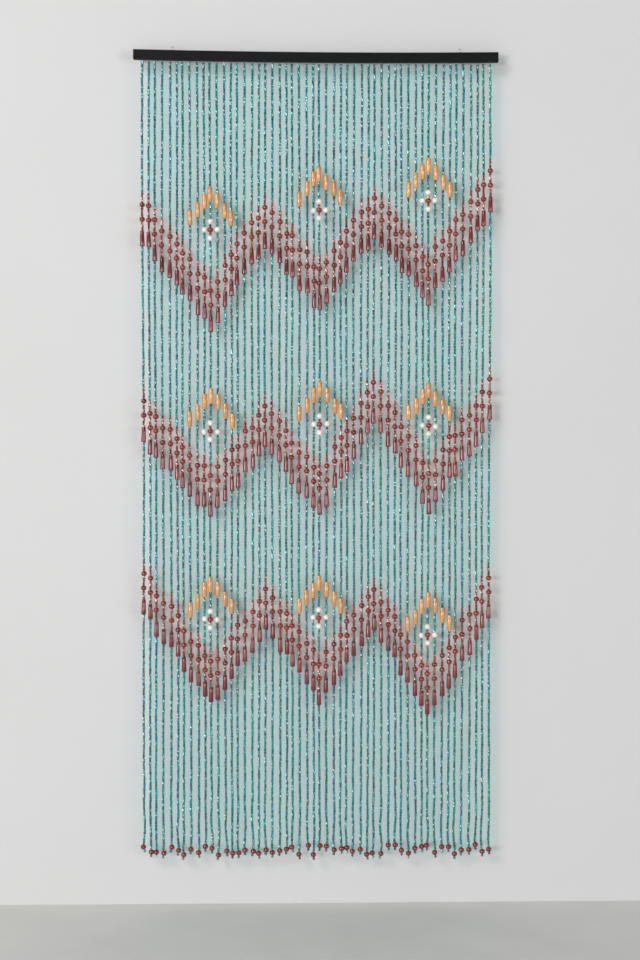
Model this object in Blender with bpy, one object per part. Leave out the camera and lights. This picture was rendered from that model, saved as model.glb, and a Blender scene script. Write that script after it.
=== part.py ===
"""Bead curtain on its batten: 52 strung strands under a narrow painted wooden rail.

The frame: the origin is the centre of the rail's back face, -Y is the front and +Z is up.
Every strand is a four-sided solid with the swellings of its larger beads. Thirteen strands
are fused at their roots to one strip, which sits in a groove in the rail's underside.
"""

import math
import random
from dataclasses import dataclass

import bmesh
import bpy

MM = 0.001
CLEARANCE = 0.3 * MM

# Wooden rail, which has warped: its ends curve up, the left one most
RAIL_LENGTH = 900 * MM
RAIL_DEPTH = 15 * MM
RAIL_HEIGHT = 24 * MM
RAIL_BEVEL = 1.2 * MM
WARP_RISE = 5.0 * MM
WARP_LOW_X = 67 * MM
WARP_STATIONS = 13

# Strips that hold the strands' roots, in the groove under the rail
STRIP_COUNT = 4
STRIP_DEPTH = 4.0 * MM
STRIP_HEIGHT = 3.0 * MM
STRIP_END_GAP = 2.0 * MM

# Screw eyes that the curtain hangs from
EYE_X = (-354 * MM, 354 * MM)
EYE_RING_RADIUS = 4.0 * MM
EYE_WIRE_RADIUS = 0.85 * MM
EYE_RING_LIFT = 5.3 * MM
EYE_SHANK_DEPTH = 9.0 * MM
EYE_RING_STEPS = 20
EYE_WIRE_SIDES = 6

# Strands: tied in fours, each four a little uneven, and hanging with a slight sway
STRAND_COUNT = 52
STRAND_PITCH = 16.9 * MM
STRAND_CENTRE_X = 1.0 * MM
GROUP_SHIFT = (1.36 * MM, 0.8 * MM, -1.44 * MM, -0.72 * MM)
STRAND_JITTER = 0.4 * MM
SWAY = 1.2 * MM
SWAY_LENGTH = 1300 * MM
SWAY_STEP = 0.45
SEED = 52

# Beads, by diameter and height
SEED_DIAMETER = 6.0 * MM
SEED_HEIGHT = 7.8 * MM
ROUND_DIAMETER = 13.6 * MM
ROUND_STEP = 35.4 * MM
CREAM_DIAMETER = 14.2 * MM
DROP_BOTTOM_DIAMETER = 10.8 * MM
DROP_HEIGHT = 38.0 * MM
DROP_EDGE = 0.3 * MM
TUBE_TOP_DIAMETER = 12.0 * MM
TUBE_BOTTOM_DIAMETER = 11.0 * MM
TUBE_HEIGHT = 37.5 * MM
TUBE_EASE = 2.5 * MM
THREAD_DIAMETER = 2.0 * MM
THREAD_SHOWING = 3.5 * MM

# Heights of the bands: the first round bead of a strand, measured down from the rail's middle
BAND_JITTER = 11 * MM
END_DEPTH = 1968 * MM
END_JITTER = 12 * MM


@dataclass(frozen=True)
class Turn:
    """A strand where the zig-zag turns, with the depth of its first round bead in each band."""

    strand: int
    band_1: float
    band_2: float
    band_3: float


TURNS = (
    Turn(0, 353 * MM, 851 * MM, 1274 * MM),
    Turn(10, 568 * MM, 1035 * MM, 1501 * MM),
    Turn(18, 363 * MM, 865 * MM, 1317 * MM),
    Turn(26, 524 * MM, 1025 * MM, 1494 * MM),
    Turn(34, 340 * MM, 806 * MM, 1308 * MM),
    Turn(42, 497 * MM, 1017 * MM, 1529 * MM),
    Turn(51, 279 * MM, 801 * MM, 1294 * MM),
)


@dataclass(frozen=True)
class Motif:
    """A chevron of tubes over a flower, in a valley of each band: its strand and its tubes' depths."""

    strand: int
    band_1: float
    band_2: float
    band_3: float


MOTIFS = (
    Motif(10, 318 * MM, 815 * MM, 1283 * MM),
    Motif(26, 268 * MM, 798 * MM, 1280 * MM),
    Motif(42, 245 * MM, 801 * MM, 1323 * MM),
)
CHEVRON_FALL = (0.0, 16 * MM, 38 * MM, 59 * MM)
TUBE_JITTER = 5 * MM
FLOWER_FALL = 106 * MM
FLOWER_REACH = 20.5 * MM
PETAL_JITTER = 2.5 * MM
BAND_NAMES = ("band_1", "band_2", "band_3")


@dataclass(frozen=True)
class Bead:
    """One larger bead on a strand: its kind, and the height of its top end."""

    kind: str
    top: float


@dataclass(frozen=True)
class Ring:
    """A four-cornered section of a strand, by its height and the diameter across its corners."""

    height: float
    diameter: float


@dataclass(frozen=True)
class Strand:
    """One strand: its place along the rail, its larger beads from the top, and its lower end."""

    index: int
    x: float
    beads: tuple
    end: float


def warp(x):
    """Height of the warped rail over a straight one, zero at the middle of its length."""
    steepness = WARP_RISE / (RAIL_LENGTH / 2 + WARP_LOW_X) ** 2
    return steepness * ((x - WARP_LOW_X) ** 2 - WARP_LOW_X**2)


def between_turns(strand, band):
    """Depth of a band on a strand, on the straight line between the two turns beside it."""
    for left, right in zip(TURNS, TURNS[1:]):
        if strand <= right.strand:
            share = (strand - left.strand) / (right.strand - left.strand)
            return getattr(left, band) * (1 - share) + getattr(right, band) * share
    return getattr(TURNS[-1], band)


def band_beads(first_round):
    """The two round beads and the tapered drop of a band, below each other."""
    top = first_round + ROUND_DIAMETER / 2
    second = top - ROUND_STEP
    return [Bead("round", top), Bead("round", second), Bead("drop", second - ROUND_STEP)]


def motif_beads(index, band, rng):
    """The beads that the nearest motif adds to a strand: its tube, and its flower's beads."""
    found = []
    for motif in MOTIFS:
        side = index - motif.strand
        if abs(side) >= len(CHEVRON_FALL):
            continue
        middle = -getattr(motif, band)
        lift = rng.uniform(-TUBE_JITTER, TUBE_JITTER) if side else 0.0
        found.append(Bead("tube", middle - CHEVRON_FALL[abs(side)] + lift))
        heart = middle - FLOWER_FALL
        petal_top = heart + CREAM_DIAMETER / 2
        if side == 0:
            found += [
                Bead("cream", petal_top + FLOWER_REACH),
                Bead("round", heart + ROUND_DIAMETER / 2),
                Bead("cream", petal_top - FLOWER_REACH),
            ]
        elif abs(side) == 1:
            found.append(Bead("cream", petal_top + rng.uniform(-PETAL_JITTER, PETAL_JITTER)))
    return found


def make_strand(index, rng):
    """Works out one strand's place and beads from the tables and its share of unevenness."""
    shift = GROUP_SHIFT[index % len(GROUP_SHIFT)] + rng.uniform(-STRAND_JITTER, STRAND_JITTER)
    x = STRAND_CENTRE_X + (index - (STRAND_COUNT - 1) / 2) * STRAND_PITCH + shift
    beads = []
    for band in BAND_NAMES:
        beads += motif_beads(index, band, rng)
        jitter = rng.uniform(-BAND_JITTER, BAND_JITTER)
        beads += band_beads(-between_turns(index, band) + jitter)
    last = -END_DEPTH + ROUND_DIAMETER / 2 + rng.uniform(-END_JITTER, END_JITTER)
    beads.append(Bead("round", last))
    return Strand(index, x, tuple(beads), last - ROUND_DIAMETER - SEED_HEIGHT)


def bead_rings(bead):
    """The sections of one larger bead, from its top end to its lower end."""
    if bead.kind == "drop":
        lower = bead.top - DROP_HEIGHT
        return [
            Ring(bead.top, SEED_DIAMETER),
            Ring(lower + DROP_EDGE, DROP_BOTTOM_DIAMETER),
            Ring(lower, SEED_DIAMETER),
        ]
    if bead.kind == "tube":
        lower = bead.top - TUBE_HEIGHT
        return [
            Ring(bead.top, SEED_DIAMETER),
            Ring(bead.top - TUBE_EASE, TUBE_TOP_DIAMETER),
            Ring(lower + TUBE_EASE, TUBE_BOTTOM_DIAMETER),
            Ring(lower, SEED_DIAMETER),
        ]
    diameter = CREAM_DIAMETER if bead.kind == "cream" else ROUND_DIAMETER
    return [
        Ring(bead.top, SEED_DIAMETER),
        Ring(bead.top - diameter / 2, diameter),
        Ring(bead.top - diameter, SEED_DIAMETER),
    ]


def sway(strand, height):
    """Sideways drift of a hanging strand at a height: nearly the same for neighbours."""
    return SWAY * math.sin(2 * math.pi * height / SWAY_LENGTH + SWAY_STEP * strand.index)


def strand_rings(strand):
    """All sections of one strand, from inside its strip down to its lower end."""
    underside = warp(strand.x) - RAIL_HEIGHT / 2
    rings = [
        Ring(underside + STRIP_HEIGHT / 2, THREAD_DIAMETER),
        Ring(underside - THREAD_SHOWING, SEED_DIAMETER),
    ]
    for bead in strand.beads:
        rings += bead_rings(bead)
    rings.append(Ring(strand.end, THREAD_DIAMETER))
    return rings


def add_material(obj, name, color, roughness, metallic=0.0):
    """Gives an object its own Principled material."""
    material = bpy.data.materials.new(name)
    material.use_nodes = True
    shader = material.node_tree.nodes["Principled BSDF"]
    shader.inputs["Base Color"].default_value = (*color, 1.0)
    shader.inputs["Roughness"].default_value = roughness
    shader.inputs["Metallic"].default_value = metallic
    obj.data.materials.append(material)


def add_mesh(name, build):
    """Makes an object from a function that fills a bmesh, with its faces turned outwards."""
    mesh = bpy.data.meshes.new(name)
    shape = bmesh.new()
    build(shape)
    bmesh.ops.recalc_face_normals(shape, faces=shape.faces)
    shape.to_mesh(mesh)
    shape.free()
    obj = bpy.data.objects.new(name, mesh)
    bpy.context.scene.collection.objects.link(obj)
    return obj


def loft(shape, sections):
    """Joins a row of closed sections, each a list of points, and caps both ends."""
    loops = [[shape.verts.new(point) for point in section] for section in sections]
    for upper, lower in zip(loops, loops[1:]):
        for k in range(len(upper)):
            following = (k + 1) % len(upper)
            shape.faces.new((upper[k], upper[following], lower[following], lower[k]))
    shape.faces.new(loops[0])
    shape.faces.new(loops[-1])


def add_boolean(obj, other, operation):
    """Puts a Boolean on an object and hides the other one, which stays as its guide."""
    modifier = obj.modifiers.new(operation.title(), "BOOLEAN")
    modifier.operation = operation
    modifier.solver = "EXACT"
    modifier.object = other
    other.hide_render = True
    other.display_type = "WIRE"


def rail_section(x):
    """The rail's outline at one place: a bevelled rectangle with a groove in its underside."""
    top = warp(x) + RAIL_HEIGHT / 2
    under = warp(x) - RAIL_HEIGHT / 2
    groove_half = STRIP_DEPTH / 2 + CLEARANCE
    groove_top = under + STRIP_HEIGHT + CLEARANCE
    middle = -RAIL_DEPTH / 2
    outline = [
        (-RAIL_BEVEL, top),
        (0.0, top - RAIL_BEVEL),
        (0.0, under + RAIL_BEVEL),
        (-RAIL_BEVEL, under),
        (middle + groove_half, under),
        (middle + groove_half, groove_top),
        (middle - groove_half, groove_top),
        (middle - groove_half, under),
        (RAIL_BEVEL - RAIL_DEPTH, under),
        (-RAIL_DEPTH, under + RAIL_BEVEL),
        (-RAIL_DEPTH, top - RAIL_BEVEL),
        (RAIL_BEVEL - RAIL_DEPTH, top),
    ]
    return [(x, y, z) for y, z in outline]


def stations(start, end):
    """Places along the rail from start to end, with the warp's own stations between them."""
    step = RAIL_LENGTH / (WARP_STATIONS - 1)
    inner = [-RAIL_LENGTH / 2 + step * k for k in range(1, WARP_STATIONS - 1)]
    return [start] + [x for x in inner if start < x < end] + [end]


def build_rail():
    """The warped batten, with a blind hole for each screw eye's shank."""
    places = stations(-RAIL_LENGTH / 2, RAIL_LENGTH / 2)
    rail = add_mesh("rail", lambda shape: loft(shape, [rail_section(x) for x in places]))
    add_material(rail, "rail_paint", (0.018, 0.018, 0.019), 0.42)
    for x in EYE_X:
        hole = add_mesh("eye_hole", lambda shape, x=x: shank(shape, x, CLEARANCE))
        add_boolean(rail, hole, "DIFFERENCE")


def shank(shape, x, extra):
    """The upright round shank of a screw eye at x, widened all round by an extra amount."""
    top = warp(x) + RAIL_HEIGHT / 2 + EYE_RING_LIFT - EYE_RING_RADIUS
    low = warp(x) + RAIL_HEIGHT / 2 - EYE_SHANK_DEPTH - extra
    radius = EYE_WIRE_RADIUS + extra
    corners = [k * 2 * math.pi / EYE_WIRE_SIDES for k in range(EYE_WIRE_SIDES)]
    sections = [
        [(x + radius * math.cos(a), radius * math.sin(a) - RAIL_DEPTH / 2, z) for a in corners]
        for z in (low, top)
    ]
    loft(shape, sections)


def eye_ring(shape, x):
    """The closed ring of a screw eye, facing the front."""
    centre = warp(x) + RAIL_HEIGHT / 2 + EYE_RING_LIFT
    loops = []
    for k in range(EYE_RING_STEPS):
        turn = 2 * math.pi * k / EYE_RING_STEPS
        loop = []
        for m in range(EYE_WIRE_SIDES):
            angle = 2 * math.pi * m / EYE_WIRE_SIDES
            reach = EYE_RING_RADIUS + EYE_WIRE_RADIUS * math.cos(angle)
            depth = EYE_WIRE_RADIUS * math.sin(angle) - RAIL_DEPTH / 2
            point = (x + reach * math.cos(turn), depth, centre + reach * math.sin(turn))
            loop.append(shape.verts.new(point))
        loops.append(loop)
    for k, loop in enumerate(loops):
        after = loops[(k + 1) % EYE_RING_STEPS]
        for m in range(EYE_WIRE_SIDES):
            following = (m + 1) % EYE_WIRE_SIDES
            shape.faces.new((loop[m], loop[following], after[following], after[m]))


def build_eyes():
    """Two screw eyes on the rail's top: a ring with a shank fused to its lowest point."""
    for name, x in zip(("eye_left", "eye_right"), EYE_X):
        eye = add_mesh(name, lambda shape, x=x: eye_ring(shape, x))
        add_material(eye, "eye_metal", (0.62, 0.61, 0.58), 0.3, 1.0)
        stem = add_mesh(name + "_stem", lambda shape, x=x: shank(shape, x, 0.0))
        add_boolean(eye, stem, "UNION")


def strip_section(x):
    """The outline of a strip at one place, in the groove and flush with the rail's underside."""
    under = warp(x) - RAIL_HEIGHT / 2
    front = -RAIL_DEPTH / 2 - STRIP_DEPTH / 2
    back = front + STRIP_DEPTH
    top = under + STRIP_HEIGHT
    return [(x, front, under), (x, back, under), (x, back, top), (x, front, top)]


def strand_sections(strand):
    """A strand's rings as four corners each: left, front, right and back."""
    sections = []
    for ring in strand_rings(strand):
        x = strand.x + sway(strand, ring.height)
        y = -RAIL_DEPTH / 2
        half = ring.diameter / 2
        corners = ((x - half, y), (x, y - half), (x + half, y), (x, y + half))
        sections.append([(cx, cy, ring.height) for cx, cy in corners])
    return sections


def strip_edge(strands, index):
    """Where one strip ends and the next begins: midway between two strands, or past the last."""
    if index == 0:
        return strands[0].x - STRAND_PITCH / 2
    if index == len(strands):
        return strands[-1].x + STRAND_PITCH / 2
    return (strands[index - 1].x + strands[index].x) / 2


def build_strands():
    """The strands in four nodes, each with its strip."""
    rng = random.Random(SEED)
    strands = [make_strand(index, rng) for index in range(STRAND_COUNT)]
    per_strip = STRAND_COUNT // STRIP_COUNT
    for number in range(STRIP_COUNT):
        first = number * per_strip
        group = strands[first : first + per_strip]
        start = strip_edge(strands, first) + STRIP_END_GAP / 2
        end = strip_edge(strands, first + per_strip) - STRIP_END_GAP / 2
        places = stations(start, end)
        name = f"strands_{number + 1}"
        strip = add_mesh(name, lambda shape, p=places: loft(shape, [strip_section(x) for x in p]))
        add_material(strip, "beads_teal", (0.03, 0.27, 0.28), 0.25)

        def all_strands(shape, group=group):
            for strand in group:
                loft(shape, strand_sections(strand))

        add_boolean(strip, add_mesh(name + "_hanging", all_strands), "UNION")


def main():
    """Clears the scene and builds the curtain."""
    for obj in list(bpy.data.objects):
        bpy.data.objects.remove(obj, do_unlink=True)
    build_rail()
    build_eyes()
    build_strands()


main()
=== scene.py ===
"""Looks of a bead curtain that hangs from a painted wooden rail.

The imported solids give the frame: the rail stays as it is and gets its paint, and every
string, strip and screw eye is replaced by a finer piece in the same place. The strings'
layout is worked out from the same tables and the same seed as in the part's source.
"""

import logging
import math
import random
from collections.abc import Sequence
from dataclasses import dataclass
from enum import Enum

import bpy
import numpy as np
from mathutils import Euler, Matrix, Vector


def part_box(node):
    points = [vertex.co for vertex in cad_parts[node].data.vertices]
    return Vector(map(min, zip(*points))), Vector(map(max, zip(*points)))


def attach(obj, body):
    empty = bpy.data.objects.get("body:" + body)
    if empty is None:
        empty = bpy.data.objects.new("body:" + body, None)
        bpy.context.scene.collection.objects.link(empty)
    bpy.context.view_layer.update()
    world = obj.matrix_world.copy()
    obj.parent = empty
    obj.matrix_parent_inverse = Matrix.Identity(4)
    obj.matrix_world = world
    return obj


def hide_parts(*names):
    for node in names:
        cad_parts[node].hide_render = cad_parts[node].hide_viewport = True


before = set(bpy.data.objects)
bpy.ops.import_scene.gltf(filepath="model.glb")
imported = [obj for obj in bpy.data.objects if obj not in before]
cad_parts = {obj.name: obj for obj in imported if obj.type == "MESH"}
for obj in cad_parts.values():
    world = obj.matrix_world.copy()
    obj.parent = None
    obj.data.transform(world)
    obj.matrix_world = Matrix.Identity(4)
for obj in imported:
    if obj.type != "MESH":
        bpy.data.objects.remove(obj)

LOG = logging.getLogger("bead_curtain")
MM = 0.001
FULL_TURN = 2 * math.pi
INTO_DEPTH = Vector((0.0, 1.0, 0.0))
SHARP_ANGLE = math.radians(50)
BAKE_MAP = "OFBake"
BAKE_MARGIN = 0.08

Point = tuple[float, float, float]
Colour = tuple[float, float, float, float]

CLEAR: Colour = (1.0, 1.0, 1.0, 1.0)


class BeadKind(Enum):
    """Every kind of bead on the curtain."""

    TEAL = "teal"
    AMBER = "amber"
    ROUND = "round"
    CREAM = "cream"
    DROP = "drop"
    TUBE = "tube"


class BeadMark(Enum):
    """The numbers that each point of a bead carries for its material to read."""

    TINT = "tint"
    SHADE = "shade"
    GLOSS = "gloss"
    RIM = "rim"


class SocketKind(Enum):
    """The types of a shader group's inputs and outputs."""

    NUMBER = "NodeSocketFloat"
    COLOUR = "NodeSocketColor"
    VECTOR = "NodeSocketVector"


@dataclass(frozen=True)
class Turn:
    """A strand where the zig-zag turns.

    Args:
        strand: number of the strand, from the left.
        depths: depth of its first round bead in each of the three bands.
    """

    strand: int
    depths: tuple[float, float, float]


@dataclass(frozen=True)
class Motif:
    """A chevron of tubes over a flower, in a valley of each band.

    Args:
        strand: number of the strand in its middle.
        depths: depth of the middle tube's top in each of the three bands.
    """

    strand: int
    depths: tuple[float, float, float]


@dataclass(frozen=True)
class Bead:
    """One bead on a strand.

    Args:
        kind: what bead it is.
        top: height of its upper end.
        height: its length along the thread.
    """

    kind: BeadKind
    top: float
    height: float

    @property
    def middle(self) -> float:
        """Height of the bead's middle."""
        return self.top - self.height / 2

    @property
    def bottom(self) -> float:
        """Height of the bead's lower end."""
        return self.top - self.height


@dataclass(frozen=True)
class Strand:
    """One string of beads.

    Args:
        index: its number from the left.
        x: its place along the rail.
        beads: its larger beads, from the top.
        end: height of its lower end.
    """

    index: int
    x: float
    beads: tuple[Bead, ...]
    end: float


@dataclass(frozen=True)
class RailSizes:
    """Sizes of the wooden rail and of the strips in its groove, as in the part's source.

    Args:
        length: its length.
        depth: its depth from front to back.
        height: its height.
        warp_rise: how much higher its left end stands than its lowest place.
        warp_low_x: where it is lowest.
        strip_height: height of the strips that hold the knotted threads.
    """

    length: float = 900 * MM
    depth: float = 15 * MM
    height: float = 24 * MM
    warp_rise: float = 5.0 * MM
    warp_low_x: float = 67 * MM
    strip_height: float = 3.0 * MM

    def warp(self, x: float) -> float:
        """Gives the height of the warped rail over a straight one.

        Args:
            x: place along the rail.

        Returns:
            The rise at x, zero at the middle of the rail's length.
        """
        steepness = self.warp_rise / (self.length / 2 + self.warp_low_x) ** 2
        return steepness * ((x - self.warp_low_x) ** 2 - self.warp_low_x**2)

    def underside(self, x: float) -> float:
        """Height of the rail's underside at x."""
        return self.warp(x) - self.height / 2

    def top(self, x: float) -> float:
        """Height of the rail's top at x."""
        return self.warp(x) + self.height / 2


@dataclass(frozen=True)
class CurtainPlan:
    """The layout of all strings: the same tables, sizes and random draws as in the part's source.

    Args:
        rail: the rail that the strings hang from.
        strand_count: how many strings there are.
        strip_count: how many strips share them evenly.
        pitch: mean distance from string to string.
        centre_x: middle of all strings along the rail.
        group_shift: how far each string of a group of four is tied from its even place.
        strand_jitter: how far a string may be off that, either way.
        sway: how far a string sways to each side on its way down.
        sway_length: height of one whole sway.
        sway_step: how much further in its sway each next string is, in radians.
        seed: seed of the random draws.
        seed_height: height of a seed bead.
        seeds_between: how many amber seeds stand above each larger bead of a band.
        round_diameter: diameter of a red round bead.
        round_step: from the top of a band's round bead to the top of its next larger bead.
        cream_diameter: diameter of a cream round bead.
        drop_height: height of a tapered drop.
        tube_height: height of a tube.
        thread_showing: thread left showing between the rail and the first bead.
        band_jitter: how far a band's beads may be off the line between two turns, either way.
        end_depth: depth of the last round bead's middle.
        end_jitter: how far it may be off that, either way.
        chevron_fall: how much lower than the middle tube each next tube hangs.
        tube_jitter: how far a tube may be off that, either way.
        flower_fall: from the middle tube's top down to the flower's heart.
        flower_reach: from the heart to the cream beads above and below it.
        petal_jitter: how far a cream bead beside the heart may be off its height, either way.
        turns: the strings where the zig-zag turns, from the left.
        motifs: the chevrons with their flowers, from the left.
    """

    rail: RailSizes = RailSizes()
    strand_count: int = 52
    strip_count: int = 4
    pitch: float = 16.9 * MM
    centre_x: float = 1.0 * MM
    group_shift: tuple[float, ...] = (1.36 * MM, 0.8 * MM, -1.44 * MM, -0.72 * MM)
    strand_jitter: float = 0.4 * MM
    sway: float = 1.2 * MM
    sway_length: float = 1300 * MM
    sway_step: float = 0.45
    seed: int = 52
    seed_height: float = 7.8 * MM
    seeds_between: int = 3
    round_diameter: float = 13.6 * MM
    round_step: float = 35.4 * MM
    cream_diameter: float = 14.2 * MM
    drop_height: float = 38.0 * MM
    tube_height: float = 37.5 * MM
    thread_showing: float = 3.5 * MM
    band_jitter: float = 11 * MM
    end_depth: float = 1968 * MM
    end_jitter: float = 12 * MM
    chevron_fall: tuple[float, ...] = (0.0, 16 * MM, 38 * MM, 59 * MM)
    tube_jitter: float = 5 * MM
    flower_fall: float = 106 * MM
    flower_reach: float = 20.5 * MM
    petal_jitter: float = 2.5 * MM
    turns: tuple[Turn, ...] = (
        Turn(0, (353 * MM, 851 * MM, 1274 * MM)),
        Turn(10, (568 * MM, 1035 * MM, 1501 * MM)),
        Turn(18, (363 * MM, 865 * MM, 1317 * MM)),
        Turn(26, (524 * MM, 1025 * MM, 1494 * MM)),
        Turn(34, (340 * MM, 806 * MM, 1308 * MM)),
        Turn(42, (497 * MM, 1017 * MM, 1529 * MM)),
        Turn(51, (279 * MM, 801 * MM, 1294 * MM)),
    )
    motifs: tuple[Motif, ...] = (
        Motif(10, (318 * MM, 815 * MM, 1283 * MM)),
        Motif(26, (268 * MM, 798 * MM, 1280 * MM)),
        Motif(42, (245 * MM, 801 * MM, 1323 * MM)),
    )

    def between_turns(self, index: int, band: int) -> float:
        """Finds a band's depth on a strand, on the straight line between two turns.

        Args:
            index: the strand's number.
            band: the band's number, from the top.

        Returns:
            Depth of the strand's first round bead in that band.
        """
        for left, right in zip(self.turns, self.turns[1:]):
            if index <= right.strand:
                share = (index - left.strand) / (right.strand - left.strand)
                return left.depths[band] * (1 - share) + right.depths[band] * share
        return self.turns[-1].depths[band]

    def round_bead(self, top: float) -> Bead:
        """A red round bead with its upper end at top."""
        return Bead(BeadKind.ROUND, top, self.round_diameter)

    def petal(self, top: float) -> Bead:
        """A cream round bead with its upper end at top."""
        return Bead(BeadKind.CREAM, top, self.cream_diameter)

    def band_beads(self, first_round: float) -> list[Bead]:
        """Lists the larger beads of one band on one strand.

        Args:
            first_round: height of the first round bead's middle.

        Returns:
            Two round beads and a tapered drop, from the top.
        """
        top = first_round + self.round_diameter / 2
        second = top - self.round_step
        return [
            self.round_bead(top),
            self.round_bead(second),
            Bead(BeadKind.DROP, second - self.round_step, self.drop_height),
        ]

    def motif_beads(self, index: int, band: int, rng: random.Random) -> list[Bead]:
        """Lists what the nearest chevron and flower add to a strand in one band.

        Args:
            index: the strand's number.
            band: the band's number, from the top.
            rng: source of the unevenness.

        Returns:
            A tube and the flower's beads, from the top, or an empty list.
        """
        found: list[Bead] = []
        for motif in self.motifs:
            side = index - motif.strand
            if abs(side) >= len(self.chevron_fall):
                continue
            middle = -motif.depths[band]
            lift = rng.uniform(-self.tube_jitter, self.tube_jitter) if side else 0.0
            tube_top = middle - self.chevron_fall[abs(side)] + lift
            found.append(Bead(BeadKind.TUBE, tube_top, self.tube_height))
            heart = middle - self.flower_fall
            petal_top = heart + self.cream_diameter / 2
            if side == 0:
                found.append(self.petal(petal_top + self.flower_reach))
                found.append(self.round_bead(heart + self.round_diameter / 2))
                found.append(self.petal(petal_top - self.flower_reach))
            elif abs(side) == 1:
                slip = rng.uniform(-self.petal_jitter, self.petal_jitter)
                found.append(self.petal(petal_top + slip))
        return found

    def make_strand(self, index: int, rng: random.Random) -> Strand:
        """Works out one strand from the tables and its share of unevenness.

        Args:
            index: the strand's number.
            rng: source of the unevenness, drawn in the part's own order.

        Returns:
            The strand with its larger beads.
        """
        shift = self.group_shift[index % len(self.group_shift)]
        shift += rng.uniform(-self.strand_jitter, self.strand_jitter)
        x = self.centre_x + (index - (self.strand_count - 1) / 2) * self.pitch + shift
        beads: list[Bead] = []
        for band in range(len(self.turns[0].depths)):
            beads += self.motif_beads(index, band, rng)
            jitter = rng.uniform(-self.band_jitter, self.band_jitter)
            beads += self.band_beads(-self.between_turns(index, band) + jitter)
        last = -self.end_depth + self.round_diameter / 2
        last += rng.uniform(-self.end_jitter, self.end_jitter)
        beads.append(self.round_bead(last))
        return Strand(index, x, tuple(beads), last - self.round_diameter - self.seed_height)

    def strands(self) -> list[Strand]:
        """All strands, from the left."""
        rng = random.Random(self.seed)
        return [self.make_strand(index, rng) for index in range(self.strand_count)]


@dataclass(frozen=True)
class HangingLine:
    """The line that a strand's thread follows: its slow sway and its small wobbles.

    Args:
        plan: the curtain's layout.
        strand: the strand that hangs on it.
        phase: where its wobble starts, in radians.
        wave: length of its wobble.
        slack: how much more it wobbles at its lower end.
        hue: how warm the tint of its seeds is, from -1 to 1.
        wobble: how far it wobbles to each side.
        depth_share: its wobble in depth, as a share of that.
        depth_phases: how many times its phase the wobble in depth starts at.
        loose_from: depth at which the slack starts.
        loose_to: depth at which it has all its slack.
        lean_reach: how far above and below a point its lean is read.
    """

    plan: CurtainPlan
    strand: Strand
    phase: float
    wave: float
    slack: float
    hue: float
    wobble: float = 0.35 * MM
    depth_share: float = 0.5
    depth_phases: float = 2.0
    loose_from: float = 1740 * MM
    loose_to: float = 1960 * MM
    lean_reach: float = 4 * MM

    def at(self, height: float) -> Vector:
        """Gives the thread's place at a height.

        Args:
            height: height on the strand.

        Returns:
            The point on the thread's middle line.
        """
        plan = self.plan
        sway_turn = FULL_TURN * height / plan.sway_length + plan.sway_step * self.strand.index
        wave_turn = FULL_TURN * height / self.wave
        loose = min(max((-height - self.loose_from) / (self.loose_to - self.loose_from), 0.0), 1.0)
        reach = self.wobble + self.slack * loose * loose
        sideways = reach * math.sin(wave_turn + self.phase)
        depth_turn = wave_turn + self.depth_phases * self.phase
        into_depth = self.depth_share * self.wobble * math.cos(depth_turn)
        x = self.strand.x + plan.sway * math.sin(sway_turn) + sideways
        return Vector((x, -plan.rail.depth / 2 + into_depth, height))

    def lean(self, height: float) -> tuple[float, float]:
        """Gives how the thread leans at a height.

        Args:
            height: height on the strand.

        Returns:
            Shift along the rail and into the depth for each unit of height.
        """
        above = self.at(height + self.lean_reach)
        below = self.at(height - self.lean_reach)
        rise = 2 * self.lean_reach
        return (above.x - below.x) / rise, (above.y - below.y) / rise


@dataclass(frozen=True)
class TurnedShape:
    """A bead turned round its bore.

    Args:
        section: its closed section, as shares of half its height and of its radius; the last
            point joins the first one by the bore's wall.
        sides: faces round it.
        smooth: True for a polished round bead, False for a cut one.
        twist: how far its lower end is turned against its upper end, in radians.
        rim_fade: how much the ring next to a rim wears, or on a drop gets painted shade, as a
            share of the rim itself.
    """

    section: tuple[tuple[float, float], ...]
    sides: int
    smooth: bool
    twist: float = 0.0
    rim_fade: float = 0.35

    @property
    def point_count(self) -> int:
        """How many points the bead has, and how many faces."""
        return len(self.section) * self.sides

    def points(self) -> np.ndarray:
        """Works out the bead's points at unit size.

        Returns:
            One row of three numbers for each point, ring after ring.
        """
        rings = []
        for height, reach in self.section:
            angles = np.arange(self.sides) * FULL_TURN / self.sides - self.twist * height / 2
            level = np.full(self.sides, height)
            rings.append(np.stack([reach * np.cos(angles), reach * np.sin(angles), level], axis=1))
        return np.concatenate(rings)

    def face_places(self) -> tuple[np.ndarray, np.ndarray]:
        """Numbers of each face's ring and of its side, ring after ring."""
        return np.divmod(np.arange(self.point_count), self.sides)

    def quads(self) -> np.ndarray:
        """Lists the bead's faces.

        Returns:
            One row of four point numbers for each face, ring after ring.
        """
        ring, side = self.face_places()
        following = (side + 1) % self.sides
        upper = ring * self.sides
        lower = ((ring + 1) % len(self.section)) * self.sides
        return np.stack([upper + side, lower + side, lower + following, upper + following], axis=1)

    def map_corners(self) -> np.ndarray:
        """Lays the bead's faces out flat in a unit square.

        Returns:
            Two numbers for each of the four corners of each face.
        """
        ring, side = self.face_places()
        rings = len(self.section)
        left = side / self.sides
        right = (side + 1) / self.sides
        top = ring / rings
        low = (ring + 1) / rings
        corners = [(left, top), (left, low), (right, low), (right, top)]
        return np.stack([np.stack(pair, axis=1) for pair in corners], axis=1)

    def rims(self) -> np.ndarray:
        """Works out the rims, where a wooden bead wears and a drop gets painted shade.

        Returns:
            A share for each point: 1 at the bore's two rims, less a ring away, 0 elsewhere.
        """
        worn_or_shaded = np.zeros(len(self.section))
        worn_or_shaded[[0, -1]] = 1.0
        worn_or_shaded[[1, -2]] = self.rim_fade
        return np.repeat(worn_or_shaded, self.sides)


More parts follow.
